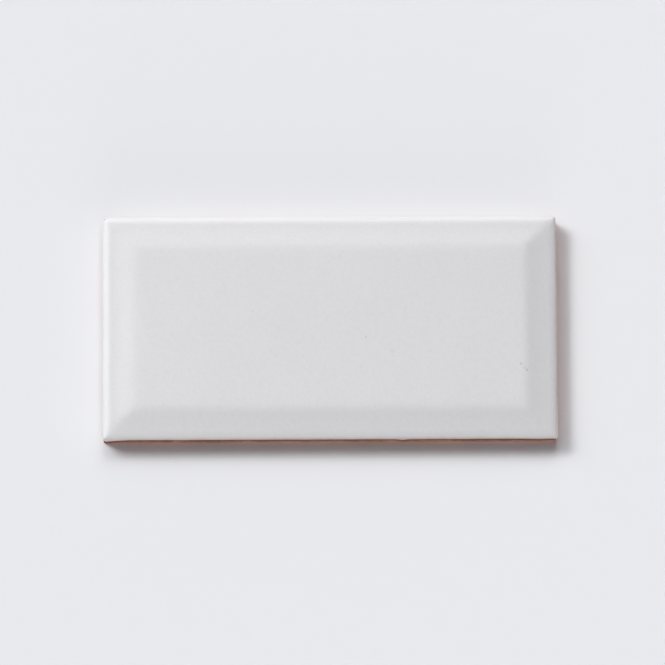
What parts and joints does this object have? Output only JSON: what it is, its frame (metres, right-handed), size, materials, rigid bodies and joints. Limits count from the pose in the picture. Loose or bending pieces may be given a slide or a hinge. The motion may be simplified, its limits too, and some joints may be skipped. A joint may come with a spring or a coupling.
{
  "type": "bevelled wall tile",
  "caption": "Rectangular white glazed wall tile with a raised flat face, sloping bevelled margins mitred at the corners, a rounded rim and a keyed red earthenware back.",
  "frame": {"origin": "centre of the back, on the plane that the tile lies on", "axes": "+X along the long side, +Y along the short side, +Z out of the glazed face"},
  "size_m": [0.15, 0.075, 0.0095],
  "materials": {
    "glaze": "satin"
  },
  "bodies": {
    "root": {"tile": "glaze"}
  },
  "joints": []
}
